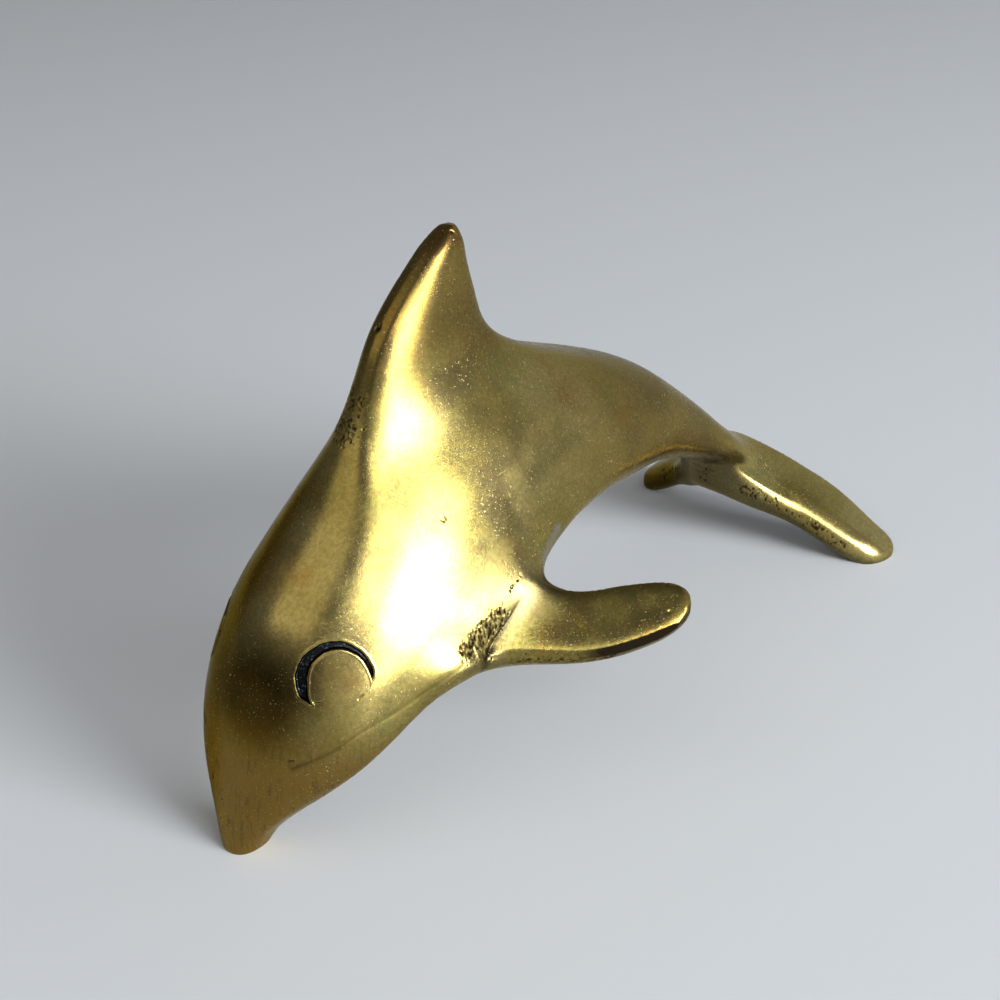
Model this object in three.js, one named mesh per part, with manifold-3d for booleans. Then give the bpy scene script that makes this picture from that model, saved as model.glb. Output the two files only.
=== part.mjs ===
// Brass dolphin figurine: a solid casting with two flippers brazed on at the chest.
// Millimetres. X runs from the snout to the flukes, the figure's left side faces -Y, and Z is up.
// It rests on the tip of the snout and the tips of the flukes, with the table at Z = 0.

import * as THREE from 'three';
import { mergeVertices } from 'three/addons/utils/BufferGeometryUtils.js';
import Module from 'manifold-3d';

const wasm = await Module();
wasm.setup();

// The body bends round a centre on the table. X is measured from where the snout touches it,
// and the whole figure is moved to the middle of its own length at the end.
const archCentreX = 54;

// Sections of the body, square to the bend. angle is in degrees, from the snout side over the top.
// The two radii run from the arch centre to the back and to the belly, halfWidth is taken at mid
// height, and swell is the share by which the section is wider at the belly and narrower above.
const snoutTip = { angle: -8, backRadius: 55.1, bellyRadius: 50.2, halfWidth: 1.8, swell: 0 };
const lips = { angle: 3, backRadius: 55.7, bellyRadius: 49.5, halfWidth: 3.6, swell: 0 };
const jaw = { angle: 8, backRadius: 54.9, bellyRadius: 46.9, halfWidth: 7.5, swell: 0.06 };
const cheek = { angle: 14, backRadius: 54.8, bellyRadius: 43.8, halfWidth: 10.8, swell: 0.2 };
const brow = { angle: 22, backRadius: 55.6, bellyRadius: 38.8, halfWidth: 12.5, swell: 0.28 };
const shoulder = { angle: 32, backRadius: 55.2, bellyRadius: 33.1, halfWidth: 13.5, swell: 0.33 };
const chest = { angle: 50, backRadius: 51.4, bellyRadius: 28.3, halfWidth: 12.9, swell: 0.32 };
const flank = { angle: 70, backRadius: 46.9, bellyRadius: 26.9, halfWidth: 11.3, swell: 0.25 };
const loin = { angle: 90, backRadius: 43.2, bellyRadius: 25.7, halfWidth: 10, swell: 0.16 };
const hip = { angle: 110, backRadius: 41, bellyRadius: 26, halfWidth: 8.5, swell: 0.07 };
const stockTop = { angle: 126, backRadius: 39.9, bellyRadius: 28.7, halfWidth: 7, swell: 0.01 };
const stockMiddle = { angle: 142, backRadius: 41.1, bellyRadius: 33.1, halfWidth: 5.7, swell: 0.01 };
const stockEnd = { angle: 158, backRadius: 45.1, bellyRadius: 40.4, halfWidth: 5.3, swell: 0 };
const tailRoot = { angle: 172, backRadius: 51.4, bellyRadius: 48.2, halfWidth: 5.1, swell: 0 };
const bodySections = [
  snoutTip, lips, jaw, cheek, brow, shoulder, chest, flank, loin, hip,
  stockTop, stockMiddle, stockEnd, tailRoot,
];
const snoutEndAngle = -2.5;
const snoutRounding = 4;
const tailEndAngle = 160;
const tailRounding = 8;

// Exponents of the section's curve: 2 is an ellipse, more is squarer. The belly is nearly flat
// with tight corners, the sides and the back are round.
const bellySquareness = 4.2;
const backSquareness = 2.3;
const sideSquareness = 2.3;
const capSquareness = 2.3;

// Dorsal fin: leading and trailing edge and half thickness at heights above the table. The two
// lowest sections lie inside the body and carry the fillet.
const finSections = [
  { height: 28, leadX: 22, trailX: 52, halfThickness: 6.5 },
  { height: 38, leadX: 17.8, trailX: 56.2, halfThickness: 6.4 },
  { height: 44.4, leadX: 19.6, trailX: 49.8, halfThickness: 4.8 },
  { height: 50, leadX: 22, trailX: 42.4, halfThickness: 3.7 },
  { height: 55, leadX: 24.8, trailX: 40, halfThickness: 3 },
  { height: 60, leadX: 29.9, trailX: 38.5, halfThickness: 2.2 },
  { height: 64.2, leadX: 35, trailX: 37.8, halfThickness: 1.5 },
];
const finTipRounding = 3;
const finSquareness = 2.2;
const finFillet = 12;

// Flukes: edges, mid height and half thickness at distances from the middle plane. They droop
// from the tail stock to the table.
const flukeSections = [
  { outY: 0, leadX: 89.8, trailX: 100.5, middleZ: 13.7, halfThickness: 2.5 },
  { outY: 5, leadX: 93.2, trailX: 104.5, middleZ: 11.2, halfThickness: 2.5 },
  { outY: 12, leadX: 99.5, trailX: 109, middleZ: 6.3, halfThickness: 2.3 },
  { outY: 18, leadX: 102.4, trailX: 110.1, middleZ: 2.2, halfThickness: 2 },
  { outY: 21.5, leadX: 106.3, trailX: 110.9, middleZ: 0.3, halfThickness: 1.5 },
];
const flukeTipRounding = 3;
const flukeSquareness = 2.6;
const flukeFillet = 11;

// Flippers: a blade from the chest, swept back and level. The sections give the leading and
// trailing edge, across the blade's axis, and the half thickness along the span.
const flipperRoot = new THREE.Vector3(28.8, -13.3, 21.4);
const flipperTip = new THREE.Vector3(43.7, -29.2, 21.7);
const flipperChord = new THREE.Vector3(0.515, 0.496, 0.699);
const flipperSections = [
  { along: -6, leadEdge: -6, trailEdge: 6.5, halfThickness: 3 },
  { along: 0, leadEdge: -4.7, trailEdge: 5.4, halfThickness: 2.6 },
  { along: 8, leadEdge: -5, trailEdge: 2.9, halfThickness: 1.9 },
  { along: 15, leadEdge: -4.1, trailEdge: 3.5, halfThickness: 1.7 },
  { along: 22.5, leadEdge: -1.2, trailEdge: 3.8, halfThickness: 1.4 },
];
const flipperRootRounding = 3;
const flipperTipRounding = 3.5;
const flipperSquareness = 3.2;
const flipperFillet = 8;

// The brazed joint. The seam is a plane just outside the widest part of the flank. Filler metal
// lies between the casting and the flipper, whose spigot runs through it into a drilled socket.
const seamStandoff = 0.4;
const seamGap = 0.3;
const fillerThickness = 0.8;
const spigotDiameter = 4;
const spigotClearance = 0.3;
const spigotInBody = 5;
const socketExtraDepth = 0.4;
const spigotSides = 24;

// Eye: a groove cut into the flank between two circles that lie off centre from each other, so
// that it is widest at the front, and open below. Angles run from the tail side over the top.
const eyeX = 7.2;
const eyeZ = 22.1;
const eyeOuterRadius = 4.25;
const eyeInnerRadius = 3.2;
const eyeInnerShift = 0.37;
const eyeInnerRise = 0.2;
const eyeStartAngle = -16;
const eyeEndAngle = 221;
const eyeGrooveDepth = 0.8;
const eyeGrooveDraft = 0.12;
const eyeGrooveSteps = 22;

// Spacing of the net that the casting's surface is drawn with, the room left round it, how often
// its points are evened out, how far they move towards their neighbours' middle each time, and in
// how many steps a point is drawn onto the skin.
const netSpacing = 1.65;
const netMargin = 3 * netSpacing;
const netEveningRounds = 4;
const netEveningShare = 0.5;
const drawingSteps = 3;

// A smooth curve through stations, held at its end values.
class Curve {
  constructor(stations, at, value) {
    this.x = stations.map((station) => station[at]);
    this.y = stations.map((station) => station[value]);
    const last = this.x.length - 1;
    this.bend = new Array(last + 1).fill(0);
    const run = new Array(last + 1).fill(0);
    for (let i = 1; i < last; i++) {
      const before = this.x[i] - this.x[i - 1];
      const after = this.x[i + 1] - this.x[i];
      const share = before / (before + after);
      const pivot = share * this.bend[i - 1] + 2;
      const slopes = (this.y[i + 1] - this.y[i]) / after - (this.y[i] - this.y[i - 1]) / before;
      this.bend[i] = (share - 1) / pivot;
      run[i] = (6 * slopes / (before + after) - share * run[i - 1]) / pivot;
    }
    for (let i = last - 1; i >= 0; i--) {
      this.bend[i] = this.bend[i] * this.bend[i + 1] + run[i];
    }
  }

  at(position) {
    const last = this.x.length - 1;
    const x = Math.min(Math.max(position, this.x[0]), this.x[last]);
    let i = 0;
    while (i < last - 1 && x > this.x[i + 1]) {
      i += 1;
    }
    const step = this.x[i + 1] - this.x[i];
    const a = (this.x[i + 1] - x) / step;
    const b = 1 - a;
    const curl = (a ** 3 - a) * this.bend[i] + (b ** 3 - b) * this.bend[i + 1];
    return a * this.y[i] + b * this.y[i + 1] + curl * step * step / 6;
  }
}

function curvesOf(stations, at, names) {
  return Object.fromEntries(names.map((name) => [name, new Curve(stations, at, name)]));
}

// The same stations on both sides of the middle plane, so that the curve crosses it smoothly.
function mirrored(stations, at) {
  const outer = stations.filter((station) => station[at] > 0);
  const opposite = outer.map((station) => ({ ...station, [at]: -station[at] })).reverse();
  return [...opposite, ...stations];
}

// At a block's very middle the distance is held finite by these two.
const leastSum = 1e-9;
const leastSteepness = 1e-6;

// Distance to a rounded block, close to true near its surface: offsets from its middle, half
// sizes, and the squareness in each direction. The second direction sets the scale.
function roundedBlock(offsets, halves, squareness) {
  let sum = 0;
  let steepness = 0;
  for (let i = 0; i < 3; i++) {
    const share = Math.abs(offsets[i]) / halves[i];
    sum += share ** squareness[i];
    steepness += (squareness[i] * share ** (squareness[i] - 1) / halves[i]) ** 2;
  }
  const power = 1 / squareness[1];
  const held = Math.max(sum, leastSum);
  const slope = Math.sqrt(steepness) * held ** (power - 1) * power;
  return (held ** power - 1) / Math.max(slope, leastSteepness);
}

// Two forms run into each other with a fillet of about a third of the reach.
function filleted(first, second, reach) {
  const share = Math.max(reach - Math.abs(first - second), 0) / reach;
  return Math.min(first, second) - share ** 3 * reach / 6;
}

const beyond = (value, limit) => Math.max(value - limit, 0);
const degrees = THREE.MathUtils.radToDeg;
const radians = THREE.MathUtils.degToRad;

// The swell goes on past the back and the belly as far as this share of the half height.
const swellReach = 1.3;
const bodyCurves = curvesOf(bodySections, 'angle', ['backRadius', 'bellyRadius', 'halfWidth', 'swell']);

function bodyDistance(p) {
  const x = p.x - archCentreX;
  const radius = Math.hypot(x, p.z);
  let angle = degrees(Math.atan2(p.z, -x));
  if (angle < -90) {
    angle += 360;
  }
  const back = bodyCurves.backRadius.at(angle);
  const belly = bodyCurves.bellyRadius.at(angle);
  const halfHeight = (back - belly) / 2;
  const offset = radius - (back + belly) / 2;
  const share = THREE.MathUtils.clamp(offset / halfHeight, -swellReach, swellReach);
  const half = bodyCurves.halfWidth.at(angle) * (1 - bodyCurves.swell.at(angle) * share);
  const arc = radians(1) * radius;
  const pastSnout = beyond((snoutEndAngle - angle) * arc, -snoutRounding);
  const pastTail = beyond((angle - tailEndAngle) * arc, -tailRounding);
  const cap = angle < 90 ? snoutRounding : tailRounding;
  const squareness = offset < 0 ? bellySquareness : backSquareness;
  return roundedBlock(
    [offset, p.y, pastSnout + pastTail],
    [halfHeight, half, cap],
    [squareness, sideSquareness, capSquareness],
  );
}

const finCurves = curvesOf(finSections, 'height', ['leadX', 'trailX', 'halfThickness']);
const finFoot = finSections[0].height;
const finTop = finSections.at(-1).height;

function finDistance(p) {
  const lead = finCurves.leadX.at(p.z);
  const trail = finCurves.trailX.at(p.z);
  const past = beyond(p.z, finTop - finTipRounding) + beyond(finFoot + finTipRounding, p.z);
  return roundedBlock(
    [p.x - (lead + trail) / 2, p.y, past],
    [(trail - lead) / 2, finCurves.halfThickness.at(p.z), finTipRounding],
    [finSquareness, finSquareness, finSquareness],
  );
}

const flukeCurves = curvesOf(
  mirrored(flukeSections, 'outY'), 'outY', ['leadX', 'trailX', 'middleZ', 'halfThickness']);
const flukeReach = flukeSections.at(-1).outY;

function flukeDistance(p) {
  const lead = flukeCurves.leadX.at(p.y);
  const trail = flukeCurves.trailX.at(p.y);
  return roundedBlock(
    [p.x - (lead + trail) / 2, p.z - flukeCurves.middleZ.at(p.y),
      beyond(Math.abs(p.y), flukeReach - flukeTipRounding)],
    [(trail - lead) / 2, flukeCurves.halfThickness.at(p.y), flukeTipRounding],
    [flukeSquareness, flukeSquareness, flukeSquareness],
  );
}

const flipperCurves = curvesOf(
  flipperSections, 'along', ['leadEdge', 'trailEdge', 'halfThickness']);
const flipperFoot = flipperSections[0].along;
const flipperReach = flipperSections.at(-1).along;
const flipperAxis = flipperTip.clone().sub(flipperRoot).normalize();
const flipperAcross = flipperChord.clone()
  .addScaledVector(flipperAxis, -flipperChord.dot(flipperAxis))
  .normalize();
const flipperFace = new THREE.Vector3().crossVectors(flipperAxis, flipperAcross);

function flipperDistance(p) {
  const q = new THREE.Vector3(p.x, -Math.abs(p.y), p.z).sub(flipperRoot);
  const along = q.dot(flipperAxis);
  const lead = flipperCurves.leadEdge.at(along);
  const trail = flipperCurves.trailEdge.at(along);
  const past = beyond(along, flipperReach - flipperTipRounding)
    + beyond(flipperFoot + flipperRootRounding, along);
  return roundedBlock(
    [q.dot(flipperAcross) - (lead + trail) / 2, q.dot(flipperFace), past],
    [(trail - lead) / 2, flipperCurves.halfThickness.at(along), flipperTipRounding],
    [flipperSquareness, flipperSquareness, flipperSquareness],
  );
}

// The skin of the whole figure, as it looks once the joints are dressed: negative inside.
function figureDistance(p) {
  const withFin = filleted(bodyDistance(p), finDistance(p), finFillet);
  const withFlukes = filleted(withFin, flukeDistance(p), flukeFillet);
  return filleted(withFlukes, flipperDistance(p), flipperFillet);
}

// The step that slopes are measured over, and the slope below which a point moves no further.
const probe = 0.02;
const leastSlope = 0.2;

function outwardSlope(p) {
  const slope = new THREE.Vector3();
  for (const axis of ['x', 'y', 'z']) {
    const ahead = p.clone();
    const behind = p.clone();
    ahead[axis] += probe;
    behind[axis] -= probe;
    slope[axis] = (figureDistance(ahead) - figureDistance(behind)) / (2 * probe);
  }
  return slope;
}

function drawnToSkin(p) {
  for (let i = 0; i < drawingSteps; i++) {
    const slope = outwardSlope(p);
    p.addScaledVector(slope, -figureDistance(p) / Math.max(slope.lengthSq(), leastSlope));
  }
  return p;
}

// The box that holds every section, with room for the net round it.
function figureBox() {
  const box = new THREE.Box3();
  for (const section of bodySections) {
    const turn = radians(section.angle);
    const half = section.halfWidth * (1 + section.swell);
    box.expandByPoint(new THREE.Vector3(archCentreX - section.backRadius * Math.cos(turn), half,
      section.backRadius * Math.sin(turn)));
  }
  box.expandByPoint(new THREE.Vector3(finSections.at(-1).trailX, 0, finTop));
  for (const section of flukeSections) {
    box.expandByPoint(new THREE.Vector3(section.trailX, section.outY, section.middleZ));
  }
  const tipReach = flipperRoot.clone().addScaledVector(flipperAxis, flipperReach);
  box.expandByPoint(new THREE.Vector3(tipReach.x, Math.abs(tipReach.y), tipReach.z));
  box.min.z = 0;
  box.expandByScalar(netMargin);
  box.min.y = -box.max.y;
  return box;
}

// The corners of one cell of the grid, one bit for each axis.
const cellCorners = [0, 1, 2, 3, 4, 5, 6, 7].map((bits) => [bits & 1, (bits >> 1) & 1, bits >> 2]);
const cornerSteps = [1, 2, 4];

// A cell's inside corners, in groups that hang together along its edges. Where a thin edge of the
// figure passes between corners, one cell holds two such groups and so two sheets of the skin.
function sheetsIn(inside) {
  const sheets = [];
  const taken = new Set();
  for (let first = 0; first < cellCorners.length; first++) {
    if (!inside[first] || taken.has(first)) {
      continue;
    }
    const sheet = [first];
    taken.add(first);
    for (const corner of sheet) {
      for (const next of cornerSteps.map((step) => corner ^ step)) {
        if (inside[next] && !taken.has(next)) {
          taken.add(next);
          sheet.push(next);
        }
      }
    }
    sheets.push(sheet);
  }
  return sheets;
}

// A net over the skin: one point for each sheet of it in each cell, drawn onto the skin, and one
// four-sided face round each cell edge that the skin crosses.
function netOverFigure() {
  const box = figureBox();
  const middle = box.getCenter(new THREE.Vector3()).toArray();
  const count = box.getSize(new THREE.Vector3()).toArray()
    .map((length) => Math.ceil(length / netSpacing) + 1);
  const start = middle.map((at, axis) => at - (count[axis] - 1) * netSpacing / 2);
  start[2] = box.min.z;
  const index = ([i, j, k]) => (i * count[1] + j) * count[2] + k;
  const place = (at) => new THREE.Vector3(...at.map((n, axis) => start[axis] + n * netSpacing));
  const everyNode = (from, visit) => {
    for (let i = from; i < count[0] - 1; i++) {
      for (let j = from; j < count[1] - 1; j++) {
        for (let k = from; k < count[2] - 1; k++) {
          visit([i, j, k]);
        }
      }
    }
  };
  const value = new Float64Array(count[0] * count[1] * count[2]).fill(netSpacing);
  everyNode(1, (at) => {
    value[index(at)] = figureDistance(place(at));
  });

  const points = [];
  const pointOf = new Map();
  everyNode(0, (cell) => {
    const corners = cellCorners.map((corner) => corner.map((bit, axis) => cell[axis] + bit));
    const values = corners.map((corner) => value[index(corner)]);
    for (const sheet of sheetsIn(values.map((distance) => distance < 0))) {
      const sum = new THREE.Vector3();
      let crossings = 0;
      for (const corner of sheet) {
        for (const next of cornerSteps.map((step) => corner ^ step)) {
          if (values[next] >= 0) {
            const share = values[corner] / (values[corner] - values[next]);
            sum.add(place(corners[corner]).lerp(place(corners[next]), share));
            crossings += 1;
          }
        }
      }
      if (crossings > 0) {
        for (const corner of sheet) {
          pointOf.set(cellCorners.length * index(cell) + corner, points.length);
        }
        points.push(drawnToSkin(sum.divideScalar(crossings)));
      }
    }
  });

  const faces = [];
  everyNode(1, (here) => {
    const inside = value[index(here)] < 0;
    for (let axis = 0; axis < 3; axis++) {
      const next = here.map((at, n) => at + (n === axis ? 1 : 0));
      if (inside === value[index(next)] < 0) {
        continue;
      }
      const inner = inside ? here : next;
      const face = [[1, 1], [0, 1], [0, 0], [1, 0]].map((back) => {
        const cell = [...here];
        cell[(axis + 1) % 3] -= back[0];
        cell[(axis + 2) % 3] -= back[1];
        const corner = inner.reduce((bits, at, n) => bits | (at - cell[n]) << n, 0);
        return pointOf.get(cellCorners.length * index(cell) + corner);
      });
      faces.push(inside ? face : face.reverse());
    }
  });

  for (let round = 0; round < netEveningRounds; round++) {
    evened(points, faces);
  }
  const positions = points.flatMap((p) => [p.x, p.y, p.z]);
  return solidOf(positions, faces.flatMap((face) => splitFace(points, face)));
}

// Each point moves towards the middle of its neighbours and back onto the skin.
function evened(points, faces) {
  const sums = points.map(() => new THREE.Vector3());
  const counts = new Array(points.length).fill(0);
  for (const face of faces) {
    for (let corner = 0; corner < 4; corner++) {
      const here = face[corner];
      sums[here].add(points[face[(corner + 1) % 4]]).add(points[face[(corner + 3) % 4]]);
      counts[here] += 2;
    }
  }
  points.forEach((point, i) => {
    drawnToSkin(point.lerp(sums[i].divideScalar(counts[i]), netEveningShare));
  });
}

// A four-sided face is split along the diagonal whose middle lies closer to the skin, so that
// edges and ridges stay whole.
function splitFace(points, [a, b, c, d]) {
  const offSkin = (from, to) => Math.abs(figureDistance(points[from].clone().lerp(points[to], 0.5)));
  return offSkin(a, c) <= offSkin(b, d) ? [a, b, c, a, c, d] : [b, c, d, b, d, a];
}

function solidOf(positions, triangles) {
  return new wasm.Manifold(new wasm.Mesh({
    numProp: 3,
    vertProperties: new Float32Array(positions),
    triVerts: new Uint32Array(triangles),
  }));
}

// Corners closer than this are one.
const weldDistance = 1e-4;

function solidOfGeometry(geometry) {
  const bare = geometry.index ? geometry.toNonIndexed() : geometry;
  bare.deleteAttribute('normal');
  bare.deleteAttribute('uv');
  const merged = mergeVertices(bare, weldDistance);
  return solidOf(merged.getAttribute('position').array, merged.index.array);
}

function geometryOf(solid) {
  const mesh = solid.getMesh();
  const geometry = new THREE.BufferGeometry();
  geometry.setAttribute('position', new THREE.BufferAttribute(new Float32Array(mesh.vertProperties), 3));
  geometry.setIndex(new THREE.BufferAttribute(new Uint32Array(mesh.triVerts), 1));
  geometry.computeVertexNormals();
  return geometry;
}

function block(min, max) {
  const size = max.clone().sub(min);
  const middle = min.clone().add(max).multiplyScalar(0.5);
  return solidOfGeometry(new THREE.BoxGeometry(size.x, size.y, size.z)
    .translate(middle.x, middle.y, middle.z));
}

// The flank's half width where it is widest, ahead of the loins, looked for in steps of one degree
// and of a share of the half height.
const flankStep = 0.02;

function widestFlank() {
  let widest = 0;
  for (let angle = lips.angle; angle <= loin.angle; angle++) {
    const half = bodyCurves.halfWidth.at(angle);
    const swell = bodyCurves.swell.at(angle);
    for (let share = -1; share <= 0; share += flankStep) {
      const round = (1 - Math.abs(share) ** bellySquareness) ** (1 / sideSquareness);
      widest = Math.max(widest, half * (1 - swell * share) * round);
    }
  }
  return widest;
}

const seamY = widestFlank() + seamStandoff;
const fillerInner = seamY + seamGap;
const fillerOuter = fillerInner + fillerThickness;
const flipperFaceY = fillerOuter + seamGap;

// The part of space ahead of the loins between two distances from the middle plane.
function chestSlice(side, inner, outer) {
  const room = figureBox();
  const near = Math.min(side * inner, side * outer);
  const far = Math.max(side * inner, side * outer);
  return block(
    new THREE.Vector3(room.min.x, near, room.min.z),
    new THREE.Vector3(archCentreX + loin.halfWidth, far, room.max.z),
  );
}

// A round bar square to the seam, centred where the flipper's axis meets the flipper's face.
function seamBar(side, diameter, inner, outer) {
  const along = (flipperFaceY + flipperRoot.y) / -flipperAxis.y;
  const centre = flipperRoot.clone().addScaledVector(flipperAxis, along);
  const bar = new THREE.CylinderGeometry(diameter / 2, diameter / 2, outer - inner, spigotSides);
  return solidOfGeometry(bar.translate(centre.x, side * (inner + outer) / 2, centre.z));
}

// The flank at the eye is found to within this, and a point of the cutter sinks to its depth in
// so many steps.
const eyeFlankError = 1e-3;
const sinkingSteps = 6;

// The cutter for the eye's groove: a four-sided section carried round the eye, whose floor keeps
// the groove's depth below the flank.
function eyeCutter(side) {
  const centre = new THREE.Vector3(eyeX, 0, eyeZ);
  let inside = 0;
  let outside = -figureBox().max.y;
  while (inside - outside > eyeFlankError) {
    centre.y = (inside + outside) / 2;
    if (figureDistance(centre) < 0) {
      inside = centre.y;
    } else {
      outside = centre.y;
    }
  }
  const out = outwardSlope(centre).normalize();
  const rise = new THREE.Vector3(0, 0, 1).addScaledVector(out, -out.z).normalize();
  const aft = new THREE.Vector3().crossVectors(rise, out);
  const above = eyeOuterRadius / 2;
  const sunk = (a, b, depth) => {
    const p = centre.clone().addScaledVector(aft, a).addScaledVector(rise, b);
    for (let i = 0; i < sinkingSteps; i++) {
      p.addScaledVector(out, -(figureDistance(p) + depth) / outwardSlope(p).dot(out));
    }
    return p;
  };
  const ring = [];
  for (let i = 0; i <= eyeGrooveSteps; i++) {
    const turn = radians(eyeStartAngle + (eyeEndAngle - eyeStartAngle) * i / eyeGrooveSteps);
    const outer = [eyeOuterRadius * Math.cos(turn), eyeOuterRadius * Math.sin(turn)];
    const inner = [
      eyeInnerShift + eyeInnerRadius * Math.cos(turn),
      eyeInnerRise + eyeInnerRadius * Math.sin(turn),
    ];
    const blend = (share) => [0, 1].map((axis) => outer[axis] + (inner[axis] - outer[axis]) * share);
    ring.push(
      sunk(...outer, 0).addScaledVector(out, above),
      sunk(...inner, 0).addScaledVector(out, above),
      sunk(...blend(1 - eyeGrooveDraft), eyeGrooveDepth),
      sunk(...blend(eyeGrooveDraft), eyeGrooveDepth),
    );
  }
  const triangles = [0, 1, 2, 0, 2, 3];
  for (let i = 0; i < eyeGrooveSteps; i++) {
    for (let corner = 0; corner < 4; corner++) {
      const a = 4 * i + corner;
      const b = 4 * i + (corner + 1) % 4;
      triangles.push(a, a + 4, b, b, a + 4, b + 4);
    }
  }
  const end = 4 * eyeGrooveSteps;
  triangles.push(end, end + 2, end + 1, end, end + 3, end + 2);
  const positions = ring.flatMap((p) => [p.x, side * -p.y, p.z]);
  const facing = side < 0 ? triangles : triangles.reverse();
  return solidOf(positions, facing);
}

const figureRoom = figureBox();
const underTable = block(
  figureRoom.min.clone().subScalar(netMargin),
  new THREE.Vector3(figureRoom.max.x + netMargin, figureRoom.max.y + netMargin, 0),
);
const figure = netOverFigure().subtract(underTable);
const beyondFlippers = figureRoom.max.y + netMargin;

function bodyCasting() {
  let casting = figure;
  for (const side of [-1, 1]) {
    const socketDepth = spigotInBody + socketExtraDepth;
    casting = casting
      .subtract(chestSlice(side, seamY, beyondFlippers))
      .subtract(seamBar(side, spigotDiameter + 2 * spigotClearance, seamY - socketDepth, fillerOuter))
      .subtract(eyeCutter(side));
  }
  return casting;
}

function fillerLayer(side) {
  return figure
    .intersect(chestSlice(side, fillerInner, fillerOuter))
    .subtract(seamBar(side, spigotDiameter + 2 * spigotClearance, seamY, flipperFaceY));
}

function flipperCasting(side) {
  return figure
    .intersect(chestSlice(side, flipperFaceY, beyondFlippers))
    .add(seamBar(side, spigotDiameter, seamY - spigotInBody, flipperFaceY + seamGap));
}

// Cast brass, polished and then dulled by handling. The flippers are a shade darker.
const bodyBrass = { color: 0x9a8438, roughness: 0.3, metalness: 1 };
const flipperBrass = { color: 0x8f7c38, roughness: 0.32, metalness: 1 };

// Silver-grey brazing filler, dressed flush with the skin and left dull.
const brazingFiller = { color: 0x9c9a8c, roughness: 0.45, metalness: 1 };

const dolphin = new THREE.Group();

function addPiece(name, solid, finish) {
  const mesh = new THREE.Mesh(geometryOf(solid), new THREE.MeshStandardMaterial(finish));
  mesh.name = name;
  dolphin.add(mesh);
}

addPiece('body', bodyCasting(), bodyBrass);
for (const [sideName, side] of [['left', -1], ['right', 1]]) {
  addPiece(`${sideName}_flipper`, flipperCasting(side), flipperBrass);
  addPiece(`${sideName}_flipper_braze`, fillerLayer(side), brazingFiller);
}

// The origin lies on the table, under the middle of the figure's length.
const extent = new THREE.Box3().setFromObject(dolphin);
dolphin.position.x = -(extent.min.x + extent.max.x) / 2;
dolphin.updateMatrixWorld(true);

export default dolphin;
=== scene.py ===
# Brass dolphin figurine on a pale floor: a solid casting with two flippers brazed on.
# Sizes are in millimetres and become metres where a mesh is made. The head points to -X.

import math
import bmesh
import bpy
import numpy as np
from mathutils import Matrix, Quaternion, Vector


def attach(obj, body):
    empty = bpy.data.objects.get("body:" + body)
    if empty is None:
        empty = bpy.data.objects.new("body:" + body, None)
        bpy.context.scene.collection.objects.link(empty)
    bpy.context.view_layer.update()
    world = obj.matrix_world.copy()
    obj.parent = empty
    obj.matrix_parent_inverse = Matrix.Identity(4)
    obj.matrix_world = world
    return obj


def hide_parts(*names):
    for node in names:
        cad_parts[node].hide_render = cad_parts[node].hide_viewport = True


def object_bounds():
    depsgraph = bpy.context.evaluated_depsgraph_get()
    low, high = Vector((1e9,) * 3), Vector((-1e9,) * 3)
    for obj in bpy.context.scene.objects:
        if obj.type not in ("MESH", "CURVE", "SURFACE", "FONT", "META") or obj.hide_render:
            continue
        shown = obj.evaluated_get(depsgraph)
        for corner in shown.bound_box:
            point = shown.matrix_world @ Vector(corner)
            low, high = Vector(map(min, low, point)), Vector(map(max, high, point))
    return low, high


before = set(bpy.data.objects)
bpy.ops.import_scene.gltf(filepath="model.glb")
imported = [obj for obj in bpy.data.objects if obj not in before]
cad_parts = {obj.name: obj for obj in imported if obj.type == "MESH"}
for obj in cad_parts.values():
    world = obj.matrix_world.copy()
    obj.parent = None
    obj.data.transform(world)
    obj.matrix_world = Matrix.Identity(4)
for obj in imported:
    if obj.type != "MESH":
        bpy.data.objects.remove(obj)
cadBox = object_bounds()
metre = 0.001  # one millimetre in metres
print("frame loaded:", ", ".join(sorted(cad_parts)))


# The figure's form

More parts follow.
